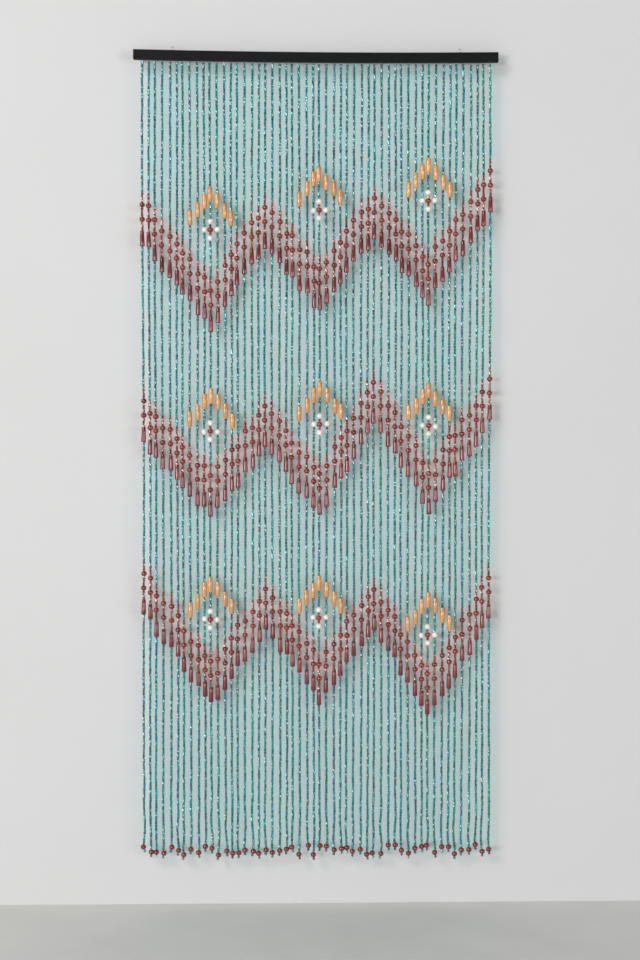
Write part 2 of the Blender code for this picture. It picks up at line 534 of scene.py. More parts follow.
def ball_section(rings: int, bore: float) -> tuple[tuple[float, float], ...]:
    """Works out the section of a round bead with a bore.

    Args:
        rings: how many rings it has.
        bore: the bore's radius as a share of the bead's.

    Returns:
        Points from the upper rim to the lower one.
    """
    start = math.asin(bore)
    angles = [start + (math.pi - 2 * start) * k / (rings - 1) for k in range(rings)]
    return tuple((math.cos(angle), math.sin(angle)) for angle in angles)


@dataclass(frozen=True)
class BeadForm:
    """How one kind of bead is made and how loosely it sits on its thread.

    Args:
        shape: its turned shape.
        radius: its largest radius.
        tilt: how far nearly all of its beads tilt at most, in radians.
        slip: how far it may sit off the thread to each side.
        growth: how much its radius may differ either way, as a share.
    """

    shape: TurnedShape
    radius: float
    tilt: float
    slip: float
    growth: float


# Each section runs from its upper rim to its lower one, in rows of height and radius.
SEED_SECTION = ((0.98, 0.32), (0.84, 0.86), (0.0, 1.0), (-0.84, 0.86), (-0.98, 0.32))
DROP_SECTION = (
    (0.985, 0.2),
    (1.0, 0.68),
    (0.965, 0.77),
    (0.35, 0.85),
    (-0.27, 0.925),
    (-0.88, 1.0),
    (-0.95, 0.97),
    (-0.985, 0.84),
    (-1.0, 0.66),
    (-0.97, 0.25),
)
TUBE_SECTION = (
    (0.97, 0.36),
    (1.0, 0.45),
    (1.0, 0.86),
    (0.965, 0.98),
    (0.0, 0.985),
    (-0.965, 0.93),
    (-1.0, 0.82),
    (-1.0, 0.43),
    (-0.97, 0.36),
)
SEED_SHAPE = TurnedShape(SEED_SECTION, sides=6, smooth=False, twist=0.45)
BALL_SHAPE = TurnedShape(ball_section(rings=11, bore=0.17), sides=18, smooth=True)
DROP_SHAPE = TurnedShape(DROP_SECTION, sides=14, smooth=True)
TUBE_SHAPE = TurnedShape(TUBE_SECTION, sides=16, smooth=True)
FORMS: dict[BeadKind, BeadForm] = {
    BeadKind.TEAL: BeadForm(SEED_SHAPE, radius=3.3 * MM, tilt=0.2, slip=0.3 * MM, growth=0.07),
    BeadKind.AMBER: BeadForm(SEED_SHAPE, radius=3.4 * MM, tilt=0.2, slip=0.3 * MM, growth=0.07),
    BeadKind.ROUND: BeadForm(BALL_SHAPE, radius=7.1 * MM, tilt=0.12, slip=0.2 * MM, growth=0.02),
    BeadKind.CREAM: BeadForm(BALL_SHAPE, radius=7.5 * MM, tilt=0.12, slip=0.2 * MM, growth=0.02),
    BeadKind.DROP: BeadForm(DROP_SHAPE, radius=6.1 * MM, tilt=0.02, slip=0.4 * MM, growth=0.03),
    BeadKind.TUBE: BeadForm(TUBE_SHAPE, radius=6.35 * MM, tilt=0.03, slip=0.9 * MM, growth=0.02),
}


@dataclass(frozen=True)
class Placed:
    """One bead with its final place, size and share of the colours' unevenness.

    Args:
        middle: its centre.
        half: half its height.
        radius: its largest radius.
        turn: its rotation.
        tint: its hue, from -1 to 1.
        shade: how light it is, from 0 to 1.
        gloss: how dull it is, from 0 to 1.
    """

    middle: Vector
    half: float
    radius: float
    turn: Euler
    tint: float
    shade: float
    gloss: float


def add_object(name: str, data: bpy.types.ID) -> bpy.types.Object:
    """Makes an object of a mesh, light or camera and links it to the scene.

    Args:
        name: the object's name.
        data: what it shows.

    Returns:
        The new object.
    """
    made = bpy.data.objects.new(name, data)
    bpy.context.scene.collection.objects.link(made)
    return made


def mesh_piece(
    name: str,
    points: Sequence[Sequence[float]],
    faces: Sequence[Sequence[int]],
    smooth: bool,
) -> bpy.types.Object:
    """Makes an object from points and faces.

    Args:
        name: the piece's name.
        points: three numbers for each point.
        faces: point numbers for each face.
        smooth: True for smooth shading between the sharp edges.

    Returns:
        The new object, linked to the scene.
    """
    mesh = bpy.data.meshes.new(name)
    mesh.from_pydata(points, [], faces)
    mesh.polygons.foreach_set("use_smooth", np.full(len(mesh.polygons), smooth))
    if smooth:
        mesh.set_sharp_from_angle(angle=SHARP_ANGLE)
    mesh.update()
    return add_object(name, mesh)


def write_mark(piece: bpy.types.Object, mark: BeadMark, values: np.ndarray) -> None:
    """Stores one number for each point of a piece, for its material to read.

    Args:
        piece: the object.
        mark: what the numbers say.
        values: the numbers, in the order of the points.
    """
    attribute = piece.data.attributes.new(mark.value, "FLOAT", "POINT")
    attribute.data.foreach_set("value", values.astype(np.float32))


def write_bake_map(piece: bpy.types.Object, corners: np.ndarray) -> None:
    """Stores a flat layout of a piece's faces, for baking.

    Args:
        piece: the object.
        corners: two numbers for each corner of each face.
    """
    layer = piece.data.uv_layers.new(name=BAKE_MAP)
    layer.data.foreach_set("uv", corners.astype(np.float32).ravel())


class BeadBatch:
    """Beads of one kind that are made as one joined mesh."""

    def __init__(self, name: str, form: BeadForm) -> None:
        """Starts an empty batch.

        Args:
            name: name of the piece that it becomes.
            form: how its beads are made.
        """
        self.name = name
        self.form = form
        self.placed: list[Placed] = []

    def add(self, bead: Placed) -> None:
        """Adds one bead."""
        self.placed.append(bead)

    def points(self) -> np.ndarray:
        """Works out all points of all beads.

        Returns:
            One row of three numbers for each point, bead after bead.
        """
        unit = self.form.shape.points()
        made = []
        for bead in self.placed:
            turn = np.array(bead.turn.to_matrix())
            size = np.array([bead.radius, bead.radius, bead.half])
            made.append((unit * size) @ turn.T + np.array(bead.middle))
        return np.concatenate(made)

    def faces(self) -> np.ndarray:
        """Lists all faces of all beads.

        Returns:
            One row of four point numbers for each face, bead after bead.
        """
        starts = np.arange(len(self.placed)) * self.form.shape.point_count
        return (self.form.shape.quads()[None, :, :] + starts[:, None, None]).reshape(-1, 4)

    def layout(self) -> np.ndarray:
        """Lays each bead out in a square cell of the baking map, with a margin round it.

        Returns:
            Two numbers for each corner of each face of each bead.
        """
        corners = self.form.shape.map_corners()
        across = math.ceil(math.sqrt(len(self.placed)))
        row, column = np.divmod(np.arange(len(self.placed)), across)
        origin = np.stack([column, row], axis=1)[:, None, None, :]
        inner = BAKE_MARGIN + corners[None, :, :, :] * (1 - 2 * BAKE_MARGIN)
        return (origin + inner) / across

    def per_point(self, values: list[float]) -> np.ndarray:
        """Repeats one number of each bead for all its points."""
        return np.repeat(np.array(values), self.form.shape.point_count)

    def build(self) -> bpy.types.Object:
        """Makes the piece with its map and its marks.

        Returns:
            The joined mesh object.
        """
        shape = self.form.shape
        piece = mesh_piece(self.name, self.points().tolist(), self.faces().tolist(), shape.smooth)
        write_bake_map(piece, self.layout())
        write_mark(piece, BeadMark.TINT, self.per_point([bead.tint for bead in self.placed]))
        write_mark(piece, BeadMark.SHADE, self.per_point([bead.shade for bead in self.placed]))
        write_mark(piece, BeadMark.GLOSS, self.per_point([bead.gloss for bead in self.placed]))
        write_mark(piece, BeadMark.RIM, np.tile(shape.rims(), len(self.placed)))
        LOG.info("%s: %d beads, %d faces", self.name, len(self.placed), len(piece.data.polygons))
        return piece


def swept_tube(
    name: str,
    lines: Sequence[Sequence[Vector]],
    radius: float,
    sides: int,
) -> bpy.types.Object:
    """Sweeps a round section along one or more lines and closes their ends.

    Args:
        name: the piece's name.
        lines: the lines' points.
        radius: radius of the section.
        sides: faces round it.

    Returns:
        One object with a closed tube for each line.
    """
    points: list[tuple[float, ...]] = []
    faces: list[tuple[int, ...]] = []
    for line in lines:
        start = len(points)
        last = len(line) - 1
        for k, centre in enumerate(line):
            along = (line[min(k + 1, last)] - line[max(k - 1, 0)]).normalized()
            across = along.cross(INTO_DEPTH).normalized()
            upright = across.cross(along)
            for m in range(sides):
                angle = FULL_TURN * m / sides
                offset = across * math.cos(angle) + upright * math.sin(angle)
                points.append(tuple(centre + offset * radius))
        for k in range(last):
            for m in range(sides):
                following = (m + 1) % sides
                here = start + k * sides
                there = here + sides
                faces.append((here + m, there + m, there + following, here + following))
        faces.append(tuple(start + m for m in range(sides)))
        faces.append(tuple(start + last * sides + m for m in reversed(range(sides))))
    return mesh_piece(name, points, faces, smooth=True)


class Graph:
    """Adds and joins nodes in one node tree."""

    def __init__(self, tree: bpy.types.NodeTree) -> None:
        """Starts on a tree.

        Args:
            tree: the tree of a material or a group.
        """
        self.tree = tree

    def fill(self, socket: bpy.types.NodeSocket, value: object) -> None:
        """Fills an input.

        Args:
            socket: the input.
            value: an output to link to it, or a plain value.
        """
        if isinstance(value, bpy.types.NodeSocket):
            self.tree.links.new(value, socket)
        else:
            socket.default_value = value

    def feed(self, node: bpy.types.Node, inputs: dict[str | int, object]) -> None:
        """Fills several inputs of a node.

        Args:
            node: the node.
            inputs: outputs or plain values, by the input's name or number.
        """
        for key, value in inputs.items():
            self.fill(node.inputs[key], value)

    def node(
        self,
        kind: str,
        inputs: dict[str | int, object],
        **settings: object,
    ) -> bpy.types.Node:
        """Adds a node.

        Args:
            kind: the node's type name.
            inputs: outputs or plain values, by the input's name or number.
            settings: its properties by name.

        Returns:
            The new node.
        """
        made = self.tree.nodes.new(kind)
        for name, value in settings.items():
            setattr(made, name, value)
        self.feed(made, inputs)
        return made

    def mark(self, mark: BeadMark) -> bpy.types.NodeSocket:
        """Reads one of the numbers that a bead's points carry."""
        return self.node("ShaderNodeAttribute", {}, attribute_name=mark.value).outputs["Fac"]

    def place(self) -> bpy.types.NodeSocket:
        """Reads the place on the object, in metres."""
        return self.node("ShaderNodeTexCoord", {}).outputs["Object"]

    def math(self, operation: str, first: object, second: object) -> bpy.types.NodeSocket:
        """Adds a Math node.

        Args:
            operation: its operation.
            first: an output or a number.
            second: an output or a number.

        Returns:
            Its output.
        """
        return self.node("ShaderNodeMath", {0: first, 1: second}, operation=operation).outputs[0]

    def mix(self, share: object, first: object, second: object) -> bpy.types.NodeSocket:
        """Mixes two colours.

        Args:
            share: an output or a number, 0 for the first colour and 1 for the second.
            first: an output or a colour.
            second: an output or a colour.

        Returns:
            The mixed colour.
        """
        made = self.node("ShaderNodeMix", {"Factor": share}, data_type="RGBA")
        inputs = [socket for socket in made.inputs if socket.type == "RGBA"]
        for socket, colour in zip(inputs, (first, second)):
            self.fill(socket, colour)
        return next(socket for socket in made.outputs if socket.type == "RGBA")

    def noise(
        self,
        scale: object,
        detail: float,
        place: bpy.types.NodeSocket | None = None,
        roughness: float = 0.5,
    ) -> bpy.types.NodeSocket:
        """Adds soft noise.

        Args:
            scale: how often it changes in a metre, as an output or a number.
            detail: how many finer layers it has.
            place: where it is read, or None for the place on the object.
            roughness: how strong the finer layers are.

        Returns:
            The noise, from 0 to 1.
        """
        inputs = {
            "Vector": self.place() if place is None else place,
            "Scale": scale,
            "Detail": detail,
            "Roughness": roughness,
        }
        return self.node("ShaderNodeTexNoise", inputs).outputs["Fac"]

    def step(self, value: bpy.types.NodeSocket, low: float, high: float) -> bpy.types.NodeSocket:
        """Adds a soft step.

        Args:
            value: what is compared.
            low: the value up to which the step is 0.
            high: the value from which it is 1.

        Returns:
            The step, from 0 to 1.
        """
        inputs = {"Value": value, "From Min": low, "From Max": high}
        made = self.node("ShaderNodeMapRange", inputs, interpolation_type="SMOOTHSTEP")
        return made.outputs["Result"]

    def use(self, group: bpy.types.NodeTree, **inputs: object) -> bpy.types.NodeOutputs:
        """Places a node group.

        Args:
            group: the group.
            inputs: outputs or plain values, by the name of the group's input.

        Returns:
            The group's outputs.
        """
        return self.node("ShaderNodeGroup", inputs, node_tree=group).outputs


class GroupGraph(Graph):
    """The graph of a new shader group."""

    def __init__(
        self,
        name: str,
        inputs: dict[str, SocketKind],
        outputs: dict[str, SocketKind],
    ) -> None:
        """Starts a group with named sockets.

        Args:
            name: the group's name.
            inputs: socket types by input name.
            outputs: socket types by output name.
        """
        super().__init__(bpy.data.node_groups.new(name, "ShaderNodeTree"))
        for label, kind in inputs.items():
            self.tree.interface.new_socket(label, in_out="INPUT", socket_type=kind.value)
        for label, kind in outputs.items():
            self.tree.interface.new_socket(label, in_out="OUTPUT", socket_type=kind.value)
        self.given = self.node("NodeGroupInput", {}).outputs
        self.ending = self.node("NodeGroupOutput", {})

    def put_out(self, **values: bpy.types.NodeSocket) -> None:
        """Fills the group's outputs by name."""
        self.feed(self.ending, values)


class MaterialGraph(Graph):
    """The graph of a new material round its Principled shader."""

    def __init__(self, name: str) -> None:
        """Starts a material.

        Args:
            name: the material's name.
        """
        self.material = bpy.data.materials.new(name)
        self.material.use_nodes = True
        super().__init__(self.material.node_tree)
        self.shader = self.tree.nodes["Principled BSDF"]
        self.ending = self.tree.nodes["Material Output"]

    def surface(self, inputs: dict[str, object]) -> None:
        """Fills inputs of the Principled shader by name."""
        self.feed(self.shader, inputs)

    def bump(self, height: bpy.types.NodeSocket, depth: float) -> bpy.types.NodeSocket:
        """Turns a height into a normal.

        Args:
            height: the height, from 0 to 1.
            depth: how deep a height of 1 is, in metres.

        Returns:
            The normal.
        """
        inputs = {"Height": height, "Strength": 1.0, "Distance": depth}
        return self.node("ShaderNodeBump", inputs).outputs["Normal"]

    def let_through(self, where: bpy.types.NodeSocket, colour: Colour) -> None:
        """Puts a clear shader in the place of the Principled one.

        Args:
            where: 1 where the surface is clear.
            colour: the share of each colour of light that passes.
        """
        clear = self.node("ShaderNodeBsdfTransparent", {"Color": colour})
        shaders = {"Fac": where, 1: self.shader.outputs["BSDF"], 2: clear.outputs["BSDF"]}
        both = self.node("ShaderNodeMixShader", shaders)
        self.feed(self.ending, {"Surface": both.outputs["Shader"]})


class Effects:
    """The shader groups that several finishes share, each built once."""

    def __init__(self) -> None:
        """Builds all groups."""
        self.bead_tone = self.build_bead_tone()
        self.rim_wear_or_shade = self.build_rim_wear_or_shade()
        self.gloss = self.build_gloss()
        self.grain = self.build_grain()

    @staticmethod
    def build_bead_tone() -> bpy.types.NodeTree:
        """Builds a colour that differs from bead to bead, between a cool and a warm hue.

        Returns:
            The group.
        """
        group = GroupGraph(
            "BeadTone",
            {
                "Base": SocketKind.COLOUR,
                "Cool": SocketKind.COLOUR,
                "Warm": SocketKind.COLOUR,
                "Unevenness": SocketKind.NUMBER,
            },
            {"Color": SocketKind.COLOUR},
        )
        tint = group.mark(BeadMark.TINT)
        warm_share = group.math("MAXIMUM", tint, 0.0)
        cool_share = group.math("MAXIMUM", group.math("MULTIPLY", tint, -1.0), 0.0)
        hue = group.mix(warm_share, group.given["Base"], group.given["Warm"])
        hue = group.mix(cool_share, hue, group.given["Cool"])
        middle_shade = 0.5
        centred = group.math("SUBTRACT", group.mark(BeadMark.SHADE), middle_shade)
        lighter = group.math("MULTIPLY", centred, group.given["Unevenness"])
        light = group.math("ADD", lighter, 1.0)
        scaled = group.node("ShaderNodeVectorMath", {0: hue, "Scale": light}, operation="SCALE")
        group.put_out(Color=scaled.outputs[0])
        return group.tree

    @staticmethod
    def build_rim_wear_or_shade() -> bpy.types.NodeTree:
        """Builds patches round the rims of a bead's bore: wood where the lacquer has rubbed off,
        or painted shade on the drops.

        Returns:
            The group.
        """
        group = GroupGraph(
            "RimWear",
            {
                "Color": SocketKind.COLOUR,
                "Bare": SocketKind.COLOUR,
                "Wear": SocketKind.NUMBER,
            },
            {"Color": SocketKind.COLOUR, "Mask": SocketKind.NUMBER},
        )
        patches = group.noise(scale=900.0, detail=3.0)
        patch = group.math("MULTIPLY", patches, group.mark(BeadMark.RIM))
        worn_or_shaded = group.math("MULTIPLY", patch, group.given["Wear"])
        mask = group.step(worn_or_shaded, low=0.3, high=0.6)
        group.put_out(
            Color=group.mix(mask, group.given["Color"], group.given["Bare"]),
            Mask=mask,
        )
        return group.tree

    @staticmethod
    def build_gloss() -> bpy.types.NodeTree:
        """Builds roughness that differs from bead to bead and smudges over it, with its bump.

        Returns:
            The group.
        """
        group = GroupGraph(
            "Gloss",
            {
                "Shiny": SocketKind.NUMBER,
                "Dull": SocketKind.NUMBER,
                "Scale": SocketKind.NUMBER,
            },
            {"Roughness": SocketKind.NUMBER, "Height": SocketKind.NUMBER},
        )
        smudge_share = 0.5
        bead_share = 0.75
        noise = group.noise(group.given["Scale"], detail=2.0)
        smudge = group.math("MULTIPLY", noise, smudge_share)
        bead = group.math("MULTIPLY", group.mark(BeadMark.GLOSS), bead_share)
        share = group.math("ADD", bead, smudge)
        spread = group.math("SUBTRACT", group.given["Dull"], group.given["Shiny"])
        duller = group.math("MULTIPLY", share, spread)
        group.put_out(
            Roughness=group.math("ADD", duller, group.given["Shiny"]),
            Height=noise,
        )
        return group.tree

    @staticmethod
    def build_grain() -> bpy.types.NodeTree:
        """Builds wood grain in long streaks: a darkened colour and its height.

        Returns:
            The group.
        """
        group = GroupGraph(
            "Grain",
            {
                "Color": SocketKind.COLOUR,
                "Streak": SocketKind.COLOUR,
                "Strength": SocketKind.NUMBER,
                "Stretch": SocketKind.VECTOR,
            },
            {"Color": SocketKind.COLOUR, "Height": SocketKind.NUMBER},
        )
        stretching = {"Vector": group.place(), "Scale": group.given["Stretch"]}
        stretched = group.node("ShaderNodeMapping", stretching).outputs["Vector"]
        noise = group.noise(scale=1.0, detail=4.0, place=stretched, roughness=0.65)
        streaks = group.step(noise, low=0.42, high=0.7)
        share = group.math("MULTIPLY", streaks, group.given["Strength"])
        group.put_out(
            Color=group.mix(share, group.given["Color"], group.given["Streak"]),
            Height=noise,
        )
        return group.tree


@dataclass(frozen=True, kw_only=True)
class BeadFinish:
    """What the finishes of all beads share: uneven hues, an uneven gloss and a clear coat.

    Args:
        name: name of the material.
        base: the middle hue.
        cool: the hue of the coolest or darkest beads.
        warm: the hue of the warmest or lightest beads.
        unevenness: how much the beads' lightness differs.
        shiny: roughness of the shiniest bead.
        dull: roughness of the dullest bead.
        smudges: how often the gloss changes in a metre.
        relief: how deep the surface's small unevenness is.
        coat: weight of the clear coat.
        coat_blur: roughness of the clear coat.
        coat_index: refractive index of the clear coat.
        lustre: how much of the surface mirrors as metal does.
        mirror: level of the other reflections under the coat.
    """

    name: str
    base: Colour
    cool: Colour
    warm: Colour
    unevenness: float
    shiny: float
    dull: float
    smudges: float
    relief: float
    coat: float
    coat_blur: float
    coat_index: float
    lustre: float = 0.0
    mirror: float = 0.2

    def tone(self, graph: Graph, effects: Effects) -> bpy.types.NodeSocket:
        """Places the beads' uneven hue.

        Args:
            graph: the material's graph.
            effects: the shared groups.

        Returns:
            The colour.
        """
        tone = graph.use(
            effects.bead_tone,
            Base=self.base,
            Cool=self.cool,
            Warm=self.warm,
            Unevenness=self.unevenness,
        )
        return tone["Color"]

    def gloss(self, graph: Graph, effects: Effects) -> bpy.types.NodeOutputs:
        """Places the beads' uneven gloss.

        Args:
            graph: the material's graph.
            effects: the shared groups.

        Returns:
            The outputs Roughness and Height.
        """
        return graph.use(effects.gloss, Shiny=self.shiny, Dull=self.dull, Scale=self.smudges)

    def even_inputs(self) -> dict[str, float]:
        """Lists the shader's inputs that are the same all over every bead.

        Returns:
            Their values by name.
        """
        return {
            "Coat Weight": self.coat,
            "Coat Roughness": self.coat_blur,
            "Coat IOR": self.coat_index,
            "Metallic": self.lustre,
            "Specular IOR Level": self.mirror,
        }


@dataclass(frozen=True, kw_only=True)
class MouldedFinish(BeadFinish):
    """Glossy moulded seed beads with a silvered bore, which gives them their lustre.

    The last four fields give four of BeadFinish's fields the values that all moulded beads share.

    Args:
        edge: the tint of what mirrors near the bead's edges.
        shadow: share of a lamp's light that each wall of the bead lets through.
    """

    edge: Colour
    shadow: Colour
    smudges: float = 350.0
    relief: float = 0.12 * MM
    coat_blur: float = 0.09
    coat_index: float = 2.5

    def build(self, effects: Effects) -> bpy.types.Material:
        """Builds the material.

        Args:
            effects: the shared groups.

        Returns:
            The material.
        """
        graph = MaterialGraph(self.name)
        gloss = self.gloss(graph, effects)
        graph.surface(
            {
                "Base Color": self.tone(graph, effects),
                "Roughness": gloss["Roughness"],
                "Normal": graph.bump(gloss["Height"], self.relief),
                "Specular Tint": self.edge,
                **self.even_inputs(),
            }
        )
        towards_lamp = graph.node("ShaderNodeLightPath", {}).outputs["Is Shadow Ray"]
        graph.let_through(towards_lamp, self.shadow)
        return graph.material


@dataclass(frozen=True, kw_only=True)
class LacqueredFinish(BeadFinish):
    """Lacquer over turned wood, with pigment that can give it a lustre.

    The last three fields give three of BeadFinish's fields the values that all wooden beads share.

    Args:
        streak: the colour of the grain's streaks.
        streaks: how strong the streaks are.
        stretch: how often the grain changes in a metre along x, y and z.
        bare_or_shade: the wood where the lacquer has rubbed off; on the drops a dark colour that
            is painted shade at the rims of the bore.
        wear_or_shade: how far the lacquer has rubbed off, or on the drops how strong the painted
            shade is.
        bare_or_shade_dullness: how much rougher these rim patches are.
    """

    streak: Colour
    streaks: float
    bare_or_shade: Colour
    stretch: Point = (650.0, 650.0, 70.0)
    wear_or_shade: float = 1.0
    bare_or_shade_dullness: float = 0.3
    smudges: float = 220.0
    relief: float = 0.06 * MM
    coat_index: float = 2.0

    def build(self, effects: Effects) -> bpy.types.Material:
        """Builds the material.

        Args:
            effects: the shared groups.

        Returns:
            The material.
        """
        graph = MaterialGraph(self.name)
        grain = graph.use(
            effects.grain,
            Color=self.tone(graph, effects),
            Streak=self.streak,
            Strength=self.streaks,
            Stretch=self.stretch,
        )
        # On the drops the rim patches are painted shade; on the other beads they are wood where
        # the lacquer has rubbed off.
        worn_or_shaded = graph.use(effects.rim_wear_or_shade, Color=grain["Color"], Bare=self.bare_or_shade, Wear=self.wear_or_shade)
        duller = graph.math("MULTIPLY", worn_or_shaded["Mask"], self.bare_or_shade_dullness)
        gloss = self.gloss(graph, effects)
        graph.surface(
            {
                "Base Color": worn_or_shaded["Color"],
                "Roughness": graph.math("ADD", gloss["Roughness"], duller),
                "Normal": graph.bump(grain["Height"], self.relief),
                **self.even_inputs(),
            }
        )
        return graph.material


@dataclass(frozen=True)
class PaintedFinish:
    """Satin black paint, brushed along a wooden rail, with dust on what faces up.

    Args:
        name: the material's name.
        paint: the paint's colour.
        streak: the colour of the brush's streaks.
        streaks: how strong the streaks are.
        stretch: how often they change in a metre along x, y and z.
        relief: how deep they are.
        dust: the colour of the dust.
        patches: how often the dust and the gloss change in a metre.
        patch_detail: how many finer layers these patches have.
        shiny: roughness where the paint is shiniest.
        dullness: how much rougher it is where it is dullest.
        mirror: level of its reflections.
    """

    name: str = "rail_paint"
    paint: Colour = (0.008, 0.0085, 0.009, 1.0)
    streak: Colour = (0.015, 0.0145, 0.0145, 1.0)
    streaks: float = 0.8
    stretch: Point = (9.0, 420.0, 420.0)
    relief: float = 0.12 * MM
    dust: Colour = (0.05, 0.048, 0.045, 1.0)
    patches: float = 60.0
    patch_detail: float = 5.0
    shiny: float = 0.3
    dullness: float = 0.22
    mirror: float = 0.15

    def build(self, effects: Effects) -> bpy.types.Material:
        """Builds the material.

        Args:
            effects: the shared groups.

        Returns:
            The material.
        """
        graph = MaterialGraph(self.name)
        grain = graph.use(
            effects.grain,
            Color=self.paint,
            Streak=self.streak,
            Strength=self.streaks,
            Stretch=self.stretch,
        )
        normal = graph.node("ShaderNodeNewGeometry", {}).outputs["Normal"]
        facing = graph.node("ShaderNodeSeparateXYZ", {0: normal}).outputs
        upward = graph.math("MAXIMUM", facing["Z"], 0.0)
        patch = graph.noise(self.patches, self.patch_detail)
        settled = graph.math("MULTIPLY", upward, patch)
        duller = graph.math("MULTIPLY", patch, self.dullness)
        graph.surface(
            {
                "Base Color": graph.mix(settled, grain["Color"], self.dust),
                "Roughness": graph.math("ADD", duller, self.shiny),
                "Normal": graph.bump(grain["Height"], self.relief),
                "Specular IOR Level": self.mirror,
            }
        )
        return graph.material


@dataclass(frozen=True)
class PlatedFinish:
    """Bright plated wire with fine scuffs.

    Args:
        name: the material's name.
        metal: the plating's colour.
        scuff: the colour of its scuffs.
        scuffs: how strong the scuffs are.
        stretch: how often they change in a metre along x, y and z.
        shiny: roughness where the plating is shiniest.
        dullness: how much rougher it is where it is dullest.
    """

    name: str = "eye_metal"
    metal: Colour = (0.72, 0.71, 0.69, 1.0)
    scuff: Colour = (0.42, 0.41, 0.4, 1.0)
    scuffs: float = 0.6
    stretch: Point = (900.0, 900.0, 400.0)
    shiny: float = 0.12
    dullness: float = 0.3

    def build(self, effects: Effects) -> bpy.types.Material:
        """Builds the material.

        Args:
            effects: the shared groups.

        Returns:
            The material.
        """
        graph = MaterialGraph(self.name)
        grain = graph.use(
            effects.grain,
            Color=self.metal,
            Streak=self.scuff,
            Strength=self.scuffs,
            Stretch=self.stretch,
        )
        duller = graph.math("MULTIPLY", grain["Height"], self.dullness)
        graph.surface(
            {
                "Base Color": grain["Color"],
                "Roughness": graph.math("ADD", duller, self.shiny),
                "Metallic": 1.0,
            }
        )
        return graph.material


@dataclass(frozen=True)
class ThreadFinish:
    """Waxed twisted thread.

    Args:
        name: the material's name.
        yarn: the colour of its strands.
        hollow_shade: the colour between them.
        twists: how often the strands follow each other in a metre.
        unevenness: how unevenly they are twisted.
        relief: how deep the hollows are.
        roughness: its roughness.
    """

    name: str = "thread"
    yarn: Colour = (0.3, 0.31, 0.3, 1.0)
    hollow_shade: Colour = (0.1, 0.11, 0.11, 1.0)
    twists: float = 220.0
    unevenness: float = 1.5
    relief: float = 0.1 * MM
    roughness: float = 0.6

    def build(self) -> bpy.types.Material:
        """Builds the material.

        Returns:
            The material.
        """
        graph = MaterialGraph(self.name)
        inputs = {"Vector": graph.place(), "Scale": self.twists, "Distortion": self.unevenness}
        wave = graph.node("ShaderNodeTexWave", inputs, bands_direction="DIAGONAL")
        twist = wave.outputs["Fac"]
        graph.surface(
            {
                # The hollows of the twist get a darker colour: painted shade.
                "Base Color": graph.mix(twist, self.hollow_shade, self.yarn),
                "Roughness": self.roughness,
                "Normal": graph.bump(twist, self.relief),
            }
        )
        return graph.material


@dataclass(frozen=True, kw_only=True)
class StageFinish:
    """Dull finish of a studio surface, in soft clouds of two pale colours.

    Args:
        name: the material's name.
        dark: the darker colour.
        light: the lighter colour.
        clouds: how often they follow each other in a metre.
        cloud_detail: how many finer layers the clouds have.
        roughness: its roughness.
        mirror: level of its reflections.
        open_behind: True for a surface that can't be seen from behind.
    """

    name: str
    dark: Colour
    light: Colour
    clouds: float
    cloud_detail: float
    roughness: float
    mirror: float = 0.5
    open_behind: bool = False

    def build(self) -> bpy.types.Material:
        """Builds the material.

        Returns:
            The material.
        """
        graph = MaterialGraph(self.name)
        cloud = graph.noise(self.clouds, self.cloud_detail)
        graph.surface(
            {
                "Base Color": graph.mix(cloud, self.dark, self.light),
                "Roughness": self.roughness,
                "Specular IOR Level": self.mirror,
            }
        )
        if self.open_behind:
            behind = graph.node("ShaderNodeNewGeometry", {}).outputs["Backfacing"]
            graph.let_through(behind, CLEAR)
        return graph.material


